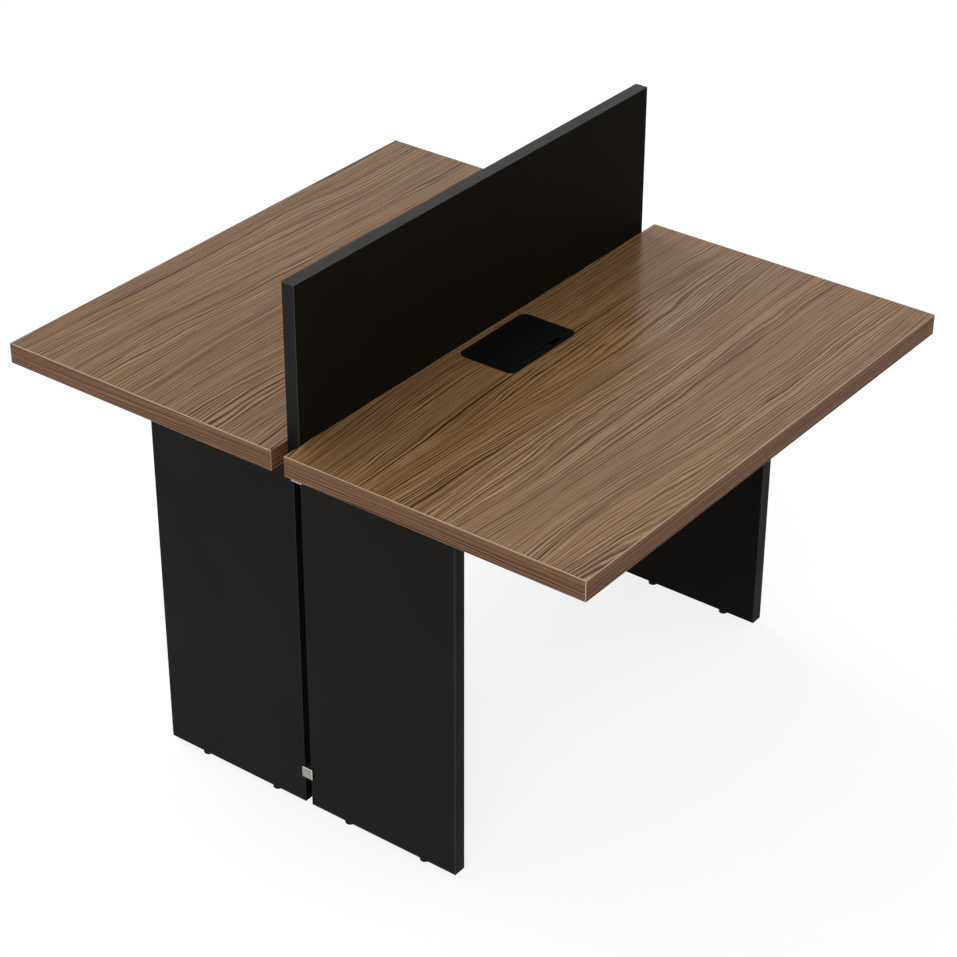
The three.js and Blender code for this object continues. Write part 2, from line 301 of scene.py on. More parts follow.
def combined(name, mesh, others, operation):
    """The mesh joined with, or cut by, the others."""
    target = bpy.data.objects.new(name, mesh)
    scene.collection.objects.link(target)
    helpers = []
    for i, other in enumerate(others):
        helper = bpy.data.objects.new(f"{name}_{i}", other)
        scene.collection.objects.link(helper)
        helpers.append(helper)
        modifier = target.modifiers.new("combine", "BOOLEAN")
        modifier.operation = operation
        modifier.solver = "EXACT"
        modifier.object = helper
    graph = bpy.context.evaluated_depsgraph_get()
    result = bpy.data.meshes.new_from_object(target.evaluated_get(graph))
    for spent in [target, *helpers]:
        bpy.data.objects.remove(spent)
    return result


# Materials

class Shader:
    """One material, with short ways to add nodes to it."""

    def __init__(self, name):
        self.material = bpy.data.materials.new(name)
        self.material.use_nodes = True
        self.tree = self.material.node_tree
        self.surface = self.tree.nodes["Principled BSDF"]

    def feed(self, socket, value):
        if isinstance(value, bpy.types.NodeSocket):
            self.tree.links.new(value, socket)
        else:
            socket.default_value = value

    def node(self, kind, inputs=None, **settings):
        made = self.tree.nodes.new(kind)
        for key, value in settings.items():
            setattr(made, key, value)
        for key, value in (inputs or {}).items():
            self.feed(made.inputs[key], value)
        return made

    def set(self, **inputs):
        names = {
            "colour": "Base Color", "roughness": "Roughness", "metallic": "Metallic", "normal": "Normal",
            "specular": "Specular IOR Level", "coat": "Coat Weight", "coat_roughness": "Coat Roughness",
        }
        for key, value in inputs.items():
            self.feed(self.surface.inputs[names[key]], value)

    def place(self, order="xyz"):
        """The point on the piece, with its axes in the given order."""
        coordinates = self.node("ShaderNodeTexCoord").outputs["Object"]
        if order == "xyz":
            return coordinates
        split = self.node("ShaderNodeSeparateXYZ", {"Vector": coordinates})
        axes = [split.outputs[axis.upper()] for axis in order]
        return self.node("ShaderNodeCombineXYZ", {0: axes[0], 1: axes[1], 2: axes[2]}).outputs["Vector"]

    def math(self, operation, *values, clamp=False):
        inputs = dict(enumerate(values))
        return self.node("ShaderNodeMath", inputs, operation=operation, use_clamp=clamp).outputs["Value"]

    def noise(self, point, size, detail=2.0, roughness=0.5, distortion=0.0):
        """Noise from 0 to 1 with features of the given size along each axis."""
        scale = (1.0 / size[0], 1.0 / size[1], 1.0 / size[2])
        scaled = self.node("ShaderNodeVectorMath", {0: point, 1: scale}, operation="MULTIPLY").outputs["Vector"]
        inputs = {"Vector": scaled, "Scale": 1.0, "Detail": detail, "Roughness": roughness, "Distortion": distortion}
        return self.node("ShaderNodeTexNoise", inputs).outputs["Fac"]

    def span(self, value, low, high, to_low=0.0, to_high=1.0, smooth=True):
        inputs = {"Value": value, "From Min": low, "From Max": high, "To Min": to_low, "To Max": to_high}
        interpolation = "SMOOTHSTEP" if smooth else "LINEAR"
        return self.node("ShaderNodeMapRange", inputs, interpolation_type=interpolation).outputs["Result"]

    def ramp(self, value, stops):
        made = self.node("ShaderNodeValToRGB", {"Fac": value})
        points = made.color_ramp.elements
        while len(points) < len(stops):
            points.new(0.5)
        for point, (position, colour) in zip(points, stops):
            point.position = position
            point.color = (*colour, 1.0)
        return made.outputs["Color"]

    def mix(self, factor, first, second, blend="MIX"):
        made = self.node("ShaderNodeMix", data_type="RGBA", blend_type=blend)
        self.feed(made.inputs[0], factor)
        self.feed(made.inputs[6], first)
        self.feed(made.inputs[7], second)
        return made.outputs[2]

    def facing(self):
        """How squarely the surface looks along each axis of the desk."""
        normal = self.node("ShaderNodeTexCoord").outputs["Normal"]
        squarely = self.node("ShaderNodeVectorMath", {0: normal}, operation="ABSOLUTE").outputs["Vector"]
        return self.node("ShaderNodeSeparateXYZ", {"Vector": squarely}).outputs

    def band_arris_highlight_mask(self, axis):
        """Mask for the painted highlight: one where a band looks away from its face's axis, on its rounded arrises."""
        return self.span(self.facing()[axis.upper()], 0.88, 0.985, 1.0, 0.0)

    def arrises(self):
        """Mask for the painted highlight: one on rounded edges, which look along no axis."""
        axes = self.facing()
        most = self.math("MAXIMUM", self.math("MAXIMUM", axes["X"], axes["Y"]), axes["Z"])
        return self.span(most, 0.88, 0.985, 1.0, 0.0)

    def lines(self, across, spacing, start, end):
        """Lines across the coordinate, at uneven spacings about the given one. Each darkens from start to end of
        its spacing, some strong and some faint, some wide and some narrow."""
        even = self.math("DIVIDE", across, spacing)
        slow = self.math("DIVIDE", even, LINE_DRIFT_LENGTH)
        drift = self.node("ShaderNodeTexNoise", {"W": slow, "Scale": 1.0, "Detail": 0.0}, noise_dimensions="1D")
        count = self.math("MULTIPLY_ADD", drift.outputs["Fac"], LINE_DRIFT, even)
        phase = self.math("FRACT", count)
        chance = self.node("ShaderNodeTexWhiteNoise", {"W": self.math("FLOOR", count)}, noise_dimensions="1D")
        draw = self.node("ShaderNodeSeparateColor", {"Color": chance.outputs["Color"]}).outputs
        rise = self.math("MULTIPLY_ADD", draw["Green"], LINE_NARROWING, start)
        line = self.math("MULTIPLY", self.span(phase, rise, end), self.span(phase, end + 0.02, 1.0, 1.0, 0.0))
        return self.math("MULTIPLY", line, self.span(draw["Red"], 0.0, 0.9, FAINTEST_LINE, 1.0))

    def bump(self, height, strength, distance):
        inputs = {"Height": height, "Strength": strength, "Distance": distance}
        return self.node("ShaderNodeBump", inputs).outputs["Normal"]


WALNUT_PALETTE = [
    (0.00, (0.044, 0.0114, 0.0016)),
    (0.25, (0.096, 0.0372, 0.0077)),
    (0.50, (0.176, 0.0836, 0.0278)),
    (0.75, (0.280, 0.1498, 0.0645)),
    (1.00, (0.404, 0.2390, 0.1260)),
]
EDGE_PALETTE = [
    (0.00, (0.034, 0.0126, 0.0055)),
    (0.25, (0.078, 0.0308, 0.0125)),
    (0.50, (0.132, 0.0565, 0.0237)),
    (0.75, (0.200, 0.0935, 0.0417)),
    (1.00, (0.285, 0.1460, 0.0702)),
]
LINE_SHAPES = ((0.40, 0.90), (0.25, 0.80), (0.20, 0.70))
MEAN_LINE = 0.20
LINE_DRIFT_LENGTH = 2.3
LINE_DRIFT = 1.1
LINE_NARROWING = 0.28
FAINTEST_LINE = 0.40
# Painted highlights: paler colours painted on the rounded arrises of walnut bands, of black boards and bands, and of
# the clip metal.
ARRIS_HIGHLIGHT_WALNUT = (0.490, 0.365, 0.260, 1.0)
ARRIS_HIGHLIGHT_BLACK = (0.0700, 0.0700, 0.0685, 1.0)
ARRIS_HIGHLIGHT_METAL = (0.90, 0.90, 0.88, 1.0)


def walnut(name, order, palette, start, figure, plain, bends, tone, specular, roughness, face=None):
    """Printed walnut figure: growth lines that wander along the grain, over slow tones, streaks and pores.
    The first axis of the order runs along the grain and the second across it, and the start says which part
    of the print this is. The figure gives the spacing
    and depth of the growth lines, of the finer lines between them and of the hair lines, and plain is how much
    of them is left where the wood is plain. Each bend gives the
    length and width of a wander of the grain, and its reach. The tone gives the mean shade, then the width
    and depth of its slow change. A band gets a painted highlight, a paler colour, on its rounded arrises,
    wherever it doesn't look along its face's axis."""
    shader = Shader(name)
    point = shader.node("ShaderNodeVectorMath", {0: shader.place(order), 1: start}, operation="ADD").outputs["Vector"]
    axes = shader.node("ShaderNodeSeparateXYZ", {"Vector": point})
    across = axes.outputs["Y"]
    for length, width, reach in bends:
        across = shader.math("MULTIPLY_ADD", shader.noise(point, (length, width, width), detail=1.0), reach, across)
    bent = shader.node("ShaderNodeCombineXYZ", {0: axes.outputs["X"], 1: across, 2: axes.outputs["Z"]})
    grain = bent.outputs["Vector"]
    clear = shader.span(shader.noise(grain, (0.45, 0.045, 0.045), detail=2.0), 0.36, 0.62, plain, 1.0)
    broken = shader.span(shader.noise(grain, (0.085, 0.010, 0.010), detail=1.0), 0.40, 0.60)
    broken = shader.math("MULTIPLY", broken, clear)
    drawn = 0.0
    for (spacing, depth), (rise, full), shown in zip(figure, LINE_SHAPES, (clear, clear, broken)):
        line = shader.math("SUBTRACT", shader.lines(across, spacing, rise, full), MEAN_LINE)
        line = shader.math("MULTIPLY_ADD", line, shown, MEAN_LINE)
        drawn = shader.math("MULTIPLY_ADD", line, depth, drawn)
    mean_shade, slow_width, slow_depth = tone
    slow = shader.noise(grain, (1.0, slow_width, slow_width), detail=3.0, roughness=0.55)
    streak = shader.noise(grain, (0.30, 0.0036, 0.0036), detail=3.0, roughness=0.62)
    fibre = shader.noise(grain, (0.045, 0.0011, 0.0011), detail=2.0, roughness=0.6)
    pore = shader.span(shader.noise(grain, (0.012, 0.0006, 0.0006), detail=1.0), 0.60, 0.74)
    shade = shader.math("MULTIPLY_ADD", slow, slow_depth, mean_shade - slow_depth / 2)
    shade = shader.math("MULTIPLY_ADD", streak, 0.68, shader.math("SUBTRACT", shade, 0.34))
    shade = shader.math("MULTIPLY_ADD", fibre, 0.42, shader.math("SUBTRACT", shade, 0.21))
    shade = shader.math("SUBTRACT", shade, drawn)
    shade = shader.math("MULTIPLY_ADD", pore, -0.12, shade, clamp=True)
    colour = shader.ramp(shade, palette)
    cool = shader.span(shader.noise(grain, (0.28, 0.021, 0.021), detail=2.0), 0.50, 0.70, 0.0, 0.95)
    colour = shader.mix(cool, colour, (0.835, 0.82, 0.79, 1.0), blend="MULTIPLY")
    if face is not None:
        # Painted highlight: the band's rounded arrises are painted paler.
        colour = shader.mix(shader.band_arris_highlight_mask(face), colour, ARRIS_HIGHLIGHT_WALNUT)
    relief = shader.math("MULTIPLY_ADD", pore, -0.7, fibre)
    shader.set(
        colour=colour,
        specular=specular,
        roughness=shader.span(fibre, 0.2, 0.8, roughness + 0.05, roughness - 0.05),
        normal=shader.bump(relief, 0.10, 0.00012),
    )
    return shader.material


def black_laminate(name, shades, specular, roughness):
    """Pressed black laminate with a fine pebbled skin and faint cloudiness; its rounded arrises get a painted
    highlight, a paler grey.
    """
    shader = Shader(name)
    point = shader.place()
    pebble = shader.noise(point, (0.0011, 0.0011, 0.0011), detail=2.0)
    cloud = shader.noise(point, (0.16, 0.16, 0.16), detail=3.0)
    tone = shader.math("MULTIPLY_ADD", cloud, 0.5, shader.math("MULTIPLY", pebble, 0.5))
    colour = shader.ramp(tone, [(0.2, shades[0]), (0.8, shades[1])])
    shader.set(
        # Painted highlight: rounded arrises painted a paler grey.
        colour=shader.mix(shader.arrises(), colour, ARRIS_HIGHLIGHT_BLACK),
        specular=specular,
        roughness=shader.span(cloud, 0.3, 0.7, roughness - 0.04, roughness + 0.04),
        normal=shader.bump(pebble, 0.14, 0.00010),
    )
    return shader.material


def black_edge(name, order, specular, roughness):
    """Extruded black band with faint lines along its length; its rounded arrises beside its face get a painted
    highlight, a paler grey.
    """
    shader = Shader(name)
    point = shader.place(order)
    drawn = shader.noise(point, (0.25, 0.0006, 0.0006), detail=2.0)
    cloud = shader.noise(point, (0.12, 0.02, 0.02), detail=2.0)
    colour = shader.ramp(drawn, [(0.25, (0.0046, 0.0046, 0.0044)), (0.75, (0.0082, 0.0083, 0.0081))])
    shader.set(
        # Painted highlight: rounded arrises painted a paler grey.
        colour=shader.mix(shader.arrises(), colour, ARRIS_HIGHLIGHT_BLACK),
        specular=specular,
        roughness=shader.span(cloud, 0.3, 0.7, roughness - 0.05, roughness + 0.05),
        normal=shader.bump(drawn, 0.10, 0.00006),
    )
    return shader.material


def moulded_plastic(name, shades, specular, roughness):
    """Moulded black plastic with a spark-eroded skin."""
    shader = Shader(name)
    point = shader.place()
    skin = shader.noise(point, (0.0006, 0.0006, 0.0006), detail=3.0, roughness=0.6)
    cloud = shader.noise(point, (0.05, 0.05, 0.05), detail=2.0)
    shader.set(
        colour=shader.ramp(skin, [(0.25, shades[0]), (0.75, shades[1])]),
        specular=specular,
        roughness=shader.span(cloud, 0.3, 0.7, roughness - 0.04, roughness + 0.04),
        normal=shader.bump(skin, 0.18, 0.00008),
    )
    return shader.material


def satin_metal(name):
    """Die-cast clip metal with a fine tumbled finish; its rounded edges get a painted highlight, a paler metal colour.
    """
    shader = Shader(name)
    point = shader.place()
    grain = shader.noise(point, (0.0007, 0.0007, 0.004), detail=3.0)
    cloud = shader.noise(point, (0.012, 0.012, 0.012), detail=2.0)
    satin = shader.ramp(cloud, [(0.2, (0.28, 0.28, 0.265)), (0.8, (0.37, 0.37, 0.355))])
    shader.set(
        # Painted highlight: rounded edges painted a paler metal colour.
        colour=shader.mix(shader.arrises(), satin, ARRIS_HIGHLIGHT_METAL),
        metallic=1.0,
        roughness=shader.span(grain, 0.25, 0.75, 0.28, 0.42),
        normal=shader.bump(grain, 0.10, 0.00005),
    )
    return shader.material


def zinc_plate(name):
    """Bright zinc plate with soft spangle and a rolling grain."""
    shader = Shader(name)
    point = shader.place()
    scaled = shader.node("ShaderNodeVectorMath", {0: point, 1: (220.0, 220.0, 220.0)}, operation="MULTIPLY")
    spangle = shader.node("ShaderNodeTexVoronoi", {"Vector": scaled.outputs["Vector"], "Scale": 1.0})
    tint = shader.node("ShaderNodeSeparateColor", {"Color": spangle.outputs["Color"]}).outputs["Red"]
    grain = shader.noise(point, (0.03, 0.0008, 0.0008), detail=2.0)
    shader.set(
        colour=shader.ramp(tint, [(0.0, (0.46, 0.48, 0.50)), (1.0, (0.60, 0.62, 0.64))]),
        metallic=1.0,
        roughness=shader.span(tint, 0.0, 1.0, 0.30, 0.44, smooth=False),
        normal=shader.bump(grain, 0.08, 0.00006),
    )
    return shader.material


TOP_LOOK = dict(
    order="xyz", palette=WALNUT_PALETTE, figure=((0.0128, 0.17), (0.0062, 0.84), (0.0046, 0.95)),
    bends=((1.15, 0.21, 0.13), (0.26, 0.048, 0.018), (0.080, 0.016, 0.0042)), roughness=0.24,
)
# Lit and shaded copies of one walnut print: the near top's mean shade is painted lighter and the far top's darker,
# painted light and shade for how the light falls on each.
WALNUT_TOPS = {
    "near": walnut(
        "walnut_laminate_near_lit", start=(4.64, 9.1, 0.0), plain=0.56, tone=(1.070, 0.050, 0.07), specular=0.225,
        **TOP_LOOK,
    ),
    "far": walnut(
        "walnut_laminate_far_shaded", start=(4.7, 9.1, 0.0), plain=0.80, tone=(1.025, 0.050, 0.12), specular=0.155,
        **TOP_LOOK,
    ),
}
EDGE_LOOK = dict(
    palette=EDGE_PALETTE, start=(0.0, 0.0, 0.0), figure=((0.0130, 0.16), (0.0062, 0.80), (0.0048, 0.70)), plain=0.85,
    bends=((0.9, 0.09, 0.030), (0.20, 0.02, 0.006)), tone=(1.00, 0.016, 0.26), roughness=0.38,
)
WALNUT_FRONT = walnut("walnut_edge_front", "xzy", specular=0.06, face="y", **EDGE_LOOK)
WALNUT_END = walnut("walnut_edge_end", "yzx", specular=0.18, face="x", **EDGE_LOOK)
BOARD_BLACKS = ((0.0040, 0.0034, 0.0026), (0.0072, 0.0062, 0.0048))
# Painted reflection: the divider's black is a lighter, slightly browner copy of the board's, with almost no sheen,
# standing in for the worktop reflected in it.
DIVIDER_BLACKS_PAINTED_REFLECTION = ((0.0078, 0.0065, 0.0046), (0.0130, 0.0109, 0.0078))
BLACK_BOARD = black_laminate("black_laminate", BOARD_BLACKS, specular=0.085, roughness=0.55)
BLACK_DIVIDER_PAINTED_REFLECTION = black_laminate("black_laminate_divider_painted_reflection", DIVIDER_BLACKS_PAINTED_REFLECTION, specular=0.012, roughness=0.62)
# Painted shade: the same black with less sheen, for the faces of the legs that turn in under the worktop.
BLACK_INNER_FACE_SHADED = black_laminate("black_laminate_inner_shaded", BOARD_BLACKS, specular=0.05, roughness=0.60)
BLACK_RAW_EDGE = black_laminate("black_sealed_edge", BOARD_BLACKS, specular=0.02, roughness=0.75)
BLACK_LEG_BAND = black_edge("black_edge_leg", "zxy", specular=0.05, roughness=0.52)
BLACK_END_BAND = black_edge("black_edge_upright", "zxy", specular=0.12, roughness=0.48)
BLACK_TOP_BAND = black_edge("black_edge_top", "xyz", specular=0.178, roughness=0.42)
FOOT_BLACKS = ((0.0016, 0.0016, 0.0013), (0.0034, 0.0034, 0.0028))
PORT_BLACKS = ((0.0036, 0.0036, 0.0033), (0.0064, 0.0064, 0.0058))
FOOT_PLASTIC = moulded_plastic("black_plastic_foot", FOOT_BLACKS, specular=0.14, roughness=0.36)
PORT_PLASTIC = moulded_plastic("black_plastic_port", PORT_BLACKS, specular=0.06, roughness=0.40)
# Painted shade: a darker, almost sheenless copy for the upright walls of the port, so the cable slot reads dark.
PORT_WALL_PAINTED_SHADE = moulded_plastic("black_plastic_wall_painted_shade", FOOT_BLACKS, specular=0.01, roughness=0.60)
CLIP_METAL = satin_metal("clip_metal")
ZINC = zinc_plate("zinc_steel")


# Worktops and their bands

def port_outlines(place):
    """Centre and sizes of the port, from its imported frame."""
    low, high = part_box(f"{place}_port_frame")
    centre = ((low.x + high.x) / 2, (low.y + high.y) / 2)
    return centre, high.x - low.x, high.y - low.y, low.z, high.z


def worktop(place, user_side):
    low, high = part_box(f"{place}_worktop_board")
    centre, length, width, _, _ = port_outlines(place)
    shrink = 2 * (FLANGE_OVERLAP - CUT_OUT_GAP)
    hole = rectangle(length - shrink, width - shrink, SLEEVE_RADIUS + CUT_OUT_GAP, centre)
    hole.reverse()
    outer = [Vector((low.x, low.y)), Vector((high.x, low.y)), Vector((high.x, high.y)), Vector((low.x, high.y))]
    board = dress(f"{place}_worktop_board", prism_mesh("worktop", [outer, hole], low.z, high.z), WALNUT_TOPS[place])
    board.data.materials.append(WALNUT_FRONT)
    for polygon in board.data.polygons:
        polygon.material_index = 1 if abs(polygon.normal.y) > 0.9 else 0
    front = "-y" if user_side < 0 else "+y"
    bands = {"front": front, "left": "-x" if user_side < 0 else "+x", "right": "+x" if user_side < 0 else "-x"}
    for band, face in bands.items():
        node = f"{place}_worktop_{band}_band"
        ends = ("+x", "-x") if band == "front" else ()
        arrises = [(face, other) for other in ("+z", "-z", *ends)]
        material = WALNUT_FRONT if band == "front" else WALNUT_END
        dress(node, board_mesh("band", *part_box(node), arrises, BAND_ARRIS), material)


# Cable ports

def paint_wall_shade(piece):
    """The upright walls of a port piece get a darker, duller copy of its plastic: painted shade in the cable slot and
    along the walls.
    """
    piece.data.materials.append(PORT_WALL_PAINTED_SHADE)
    for polygon in piece.data.polygons:
        polygon.material_index = 1 if abs(polygon.normal.z) < 0.3 else 0


def port_frame(place, user_side):
    centre, length, width, bottom, top = port_outlines(place)
    worktop_face = top - FLANGE_THICKNESS
    sleeve_length, sleeve_width = length - 2 * FLANGE_OVERLAP, width - 2 * FLANGE_OVERLAP
    pocket_length, pocket_width = sleeve_length - 2 * SLEEVE_WALL, sleeve_width - 2 * SLEEVE_WALL
    ledge_level = top - LID_THICKNESS - LID_REST_GAP
    pocket = rectangle(pocket_length, pocket_width, POCKET_RADIUS)
    pocket.reverse()
    flange_outline = rectangle(length, width, FLANGE_RADIUS)
    sleeve_outline = rectangle(sleeve_length, sleeve_width, SLEEVE_RADIUS)
    flange = prism_mesh("flange", [flange_outline, pocket], worktop_face, top, JOINT_EASE, FLANGE_EASE / 2)
    sleeve = prism_mesh("sleeve", [sleeve_outline, pocket], bottom, worktop_face + FLANGE_THICKNESS / 2, PANEL_EASE, 0.0)
    hinge_relief = 2 * HINGE_SETBACK + LID_GAP
    ledges = []
    for side in (-1, 1):
        reach = SLEEVE_WALL / 2
        inner = side * (pocket_length / 2 - LEDGE_WIDTH)
        outer = side * (pocket_length / 2 + reach)
        front = pocket_width / 2 + reach
        rear = pocket_width / 2 - hinge_relief
        low = Vector((min(inner, outer), -front, bottom + SLEEVE_WALL / 2))
        high = Vector((max(inner, outer), rear, ledge_level))
        ledges.append(board_mesh("ledge", low, high))
    frame_mesh = combined("port_frame", flange, [sleeve, *ledges], "UNION")
    pivot_line = pocket_width / 2 - HINGE_SETBACK
    holes = []
    for side in (-1, 1):
        spot = Vector((side * pocket_length / 2, pivot_line, top - LID_THICKNESS / 2))
        turn = Matrix.Translation(spot) @ Matrix.Rotation(math.pi / 2, 4, "Y")
        reach = SLEEVE_WALL * 0.72
        profile = [(0.0, -reach), (PIVOT_HOLE_RADIUS, -reach), (PIVOT_HOLE_RADIUS, reach), (0.0, reach)]
        holes.append(turned_mesh("pivot_hole", profile, 16, turn))
    frame_mesh = combined("port_frame", frame_mesh, holes, "DIFFERENCE")
    spin = Matrix.Rotation(0.0 if user_side < 0 else math.pi, 4, "Z")
    frame_mesh.transform(Matrix.Translation((*centre, 0.0)) @ spin)
    paint_wall_shade(dress(f"{place}_port_frame", frame_mesh, PORT_PLASTIC))


def port_lid(place, user_side):
    centre, length, width, _, top = port_outlines(place)
    shrink = 2 * (FLANGE_OVERLAP + SLEEVE_WALL + LID_GAP)
    x, y = (length - shrink) / 2, (width - shrink) / 2
    slot_x, slot_y = CABLE_SLOT_LENGTH / 2, -y + CABLE_SLOT_WIDTH
    corner = POCKET_RADIUS - LID_GAP
    outline = filleted([
        (-x, -y, corner),
        (-slot_x, -y, CABLE_SLOT_LIP),
        (-slot_x, slot_y, CABLE_SLOT_RADIUS),
        (slot_x, slot_y, CABLE_SLOT_RADIUS),
        (slot_x, -y, CABLE_SLOT_LIP),
        (x, -y, corner),
        (x, y, corner),
        (-x, y, corner),
    ])
    plate = prism_mesh("lid", [outline], top - LID_THICKNESS, top, PANEL_EASE, LID_EASE)
    low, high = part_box(f"{place}_port_lid")
    pivot_line = y + LID_GAP - HINGE_SETBACK
    stubs = []
    for side in (-1, 1):
        spot = Vector((side * (high.x - low.x) / 2, pivot_line, top - LID_THICKNESS / 2))
        turn = Matrix.Translation(spot) @ Matrix.Rotation(-side * math.pi / 2, 4, "Y")
        reach = (high.x - low.x) / 2 - x + PIVOT_RADIUS
        tip = PIVOT_RADIUS / 4
        profile = [(0.0, 0.0), (PIVOT_RADIUS - tip, 0.0), (PIVOT_RADIUS, tip), (PIVOT_RADIUS, reach), (0.0, reach)]
        stubs.append(turned_mesh("stub", profile, 16, turn))
    lid = combined("lid", plate, stubs, "UNION")
    spin = Matrix.Rotation(0.0 if user_side < 0 else math.pi, 4, "Z")
    lid.transform(Matrix.Translation((*centre, 0.0)) @ spin)
    paint_wall_shade(dress(f"{place}_port_lid", lid, PORT_PLASTIC))


# Legs and feet

def foot_middle(name):
    low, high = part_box(f"{name}_foot_pad")
    return Vector(((low.x + high.x) / 2, (low.y + high.y) / 2, 0.0))


def foot_pad(name):
    low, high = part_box(f"{name}_foot_pad")
    radius = (high.x - low.x) / 2
    top = high.z
    round_steps = [math.pi / 2 * k / 4 for k in range(5)]
    lip = 0.6 * MM
    profile = [(0.0, 0.0)]
    for angle in round_steps:
        profile.append((radius - PAD_CHAMFER * (1 - math.sin(angle)), PAD_CHAMFER * (1 - math.cos(angle))))
    for angle in round_steps:
        reach = lip * (1 - math.cos(angle))
        profile.append((radius - reach, PAD_RIM_HEIGHT - lip + lip * math.sin(angle)))
    profile.append((HUB_RADIUS + lip, PAD_RIM_HEIGHT + PAD_SHOULDER - lip))
    profile.append((HUB_RADIUS, PAD_RIM_HEIGHT + PAD_SHOULDER))
    profile.append((HUB_RADIUS, top - lip / 2))
    profile.append((HUB_RADIUS - lip / 2, top))
    profile.append((SOCKET_RADIUS, top))
    profile.append((SOCKET_RADIUS, PAD_FLOOR))
    profile.append((0.0, PAD_FLOOR))
    place = Matrix.Translation(foot_middle(name))
    dress(f"{name}_foot_pad", turned_mesh("pad", profile, ROUND_SIDES, place), FOOT_PLASTIC)


def foot_stud(name):
    """A stud with a helical thread between plain chamfered ends."""
    low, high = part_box(f"{name}_foot_stud")
    radius = (high.x - low.x) / 2
    step = THREAD_PITCH / THREAD_STEPS
    count = int((high.z - low.z) / step)
    bm = bmesh.new()
    rings = []
    for k in range(count + 1):
        level = low.z + k * step
        room = min(level - low.z, low.z + count * step - level)
        depth_scale = min(1.0, room / THREAD_PITCH)
        ring = []
        for i in range(THREAD_SIDES):
            angle = 2 * math.pi * i / THREAD_SIDES
            phase = (level / THREAD_PITCH - i / THREAD_SIDES) % 1.0
            depth = THREAD_DEPTH * abs(2 * phase - 1) * depth_scale + THREAD_DEPTH * (1 - depth_scale)
            ring.append(bm.verts.new(((radius - depth) * math.cos(angle), (radius - depth) * math.sin(angle), level)))
        rings.append(ring)
    for lower, upper in zip(rings, rings[1:]):
        for i in range(THREAD_SIDES):
            j = (i + 1) % THREAD_SIDES
            bm.faces.new((lower[i], lower[j], upper[j], upper[i]))
    bm.faces.new(rings[0])
    bm.faces.new(rings[-1])
    bmesh.ops.translate(bm, verts=bm.verts, vec=foot_middle(name))
    dress(f"{name}_foot_stud", to_mesh("stud", bm), ZINC)


def foot_nut(name):
    low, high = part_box(f"{name}_foot_nut")
    radius = (high.x - low.x) / 2
    profile = [
        (SOCKET_RADIUS, low.z + NUT_CHAMFER),
        (SOCKET_RADIUS + NUT_CHAMFER, low.z),
        (radius - NUT_CHAMFER, low.z),
        (radius, low.z + NUT_CHAMFER),
        (radius, high.z - NUT_CHAMFER),
        (radius - NUT_CHAMFER, high.z),
        (SOCKET_RADIUS, high.z),
    ]
    place = Matrix.Translation(foot_middle(name))
    dress(f"{name}_foot_nut", turned_mesh("nut", profile, ROUND_SIDES, place), ZINC)


def foot_bore(name):
    low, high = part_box(f"{name}_foot_nut")
    radius = (high.x - low.x) / 2 + BORE_CLEARANCE
    profile = [(0.0, low.z - MM), (radius, low.z - MM), (radius, low.z + BORE_HEIGHT), (0.0, low.z + BORE_HEIGHT)]
    return turned_mesh("bore", profile, ROUND_SIDES, Matrix.Translation(foot_middle(name)))


def leg(place, end, user_side):
    name = f"{place}_{end}"
    feet = [f"{name}_{line}" for line in ("front", "rear")]
    low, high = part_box(f"{name}_leg_panel")
    panel = board_mesh("panel", low, high, ease=PANEL_EASE)
    panel = combined("panel", panel, [foot_bore(foot) for foot in feet], "DIFFERENCE")
    board = dress(f"{name}_leg_panel", panel, BLACK_BOARD)
    board.data.materials.append(BLACK_RAW_EDGE)
    board.data.materials.append(BLACK_INNER_FACE_SHADED)
    outward = math.copysign(1.0, low.x + high.x)
    for polygon in board.data.polygons:
        facing = polygon.normal.x * outward
        # Inner faces get the dimmer copy, painted shade under the worktop.
        polygon.material_index = 0 if facing > 0.5 else 2 if facing < -0.5 else 1
    face = "-y" if user_side < 0 else "+y"
    arrises = [(face, other) for other in ("+x", "-x", "-z")]
    band = board_mesh("band", *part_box(f"{name}_leg_band"), arrises, BAND_ARRIS)
    dress(f"{name}_leg_band", band, BLACK_LEG_BAND)
    for foot in feet:
        foot_pad(foot)
        foot_stud(foot)
        foot_nut(foot)


# Screws and steel fittings

def screw_head_mesh():
    """A pan head with a cross recess, seated on the plane z = 0."""
    profile = [(0.0, 0.0), (SCREW_HEAD_RADIUS - 0.3 * MM, 0.0), (SCREW_HEAD_RADIUS, 0.3 * MM)]
    for k in range(1, 9):
        angle = math.pi / 2 * k / 8
        height = 0.3 * MM + (SCREW_HEAD_HEIGHT - 0.3 * MM) * math.sin(angle)
        profile.append((SCREW_HEAD_RADIUS * math.cos(angle) ** 0.6 if k < 8 else 0.0, height))
    head = turned_mesh("head", profile, 32)
    arms = []
    for turn in (0.0, math.pi / 2):
        x, y = SCREW_RECESS_LENGTH / 2, SCREW_RECESS_WIDTH / 2
        low = Vector((-x, -y, SCREW_HEAD_HEIGHT - SCREW_RECESS_DEPTH))
        arm = board_mesh("arm", low, Vector((x, y, SCREW_HEAD_HEIGHT + MM)))
        arm.transform(Matrix.Rotation(turn, 4, "Z"))
        arms.append(arm)
    bm = bmesh.new()
    bm.from_mesh(combined("head", head, arms, "DIFFERENCE"))
    bmesh.ops.remove_doubles(bm, verts=bm.verts, dist=WELD_DISTANCE)
    bmesh.ops.dissolve_degenerate(bm, edges=bm.edges, dist=WELD_DISTANCE)
    return to_mesh("head", bm)


SCREW_HEAD = screw_head_mesh()


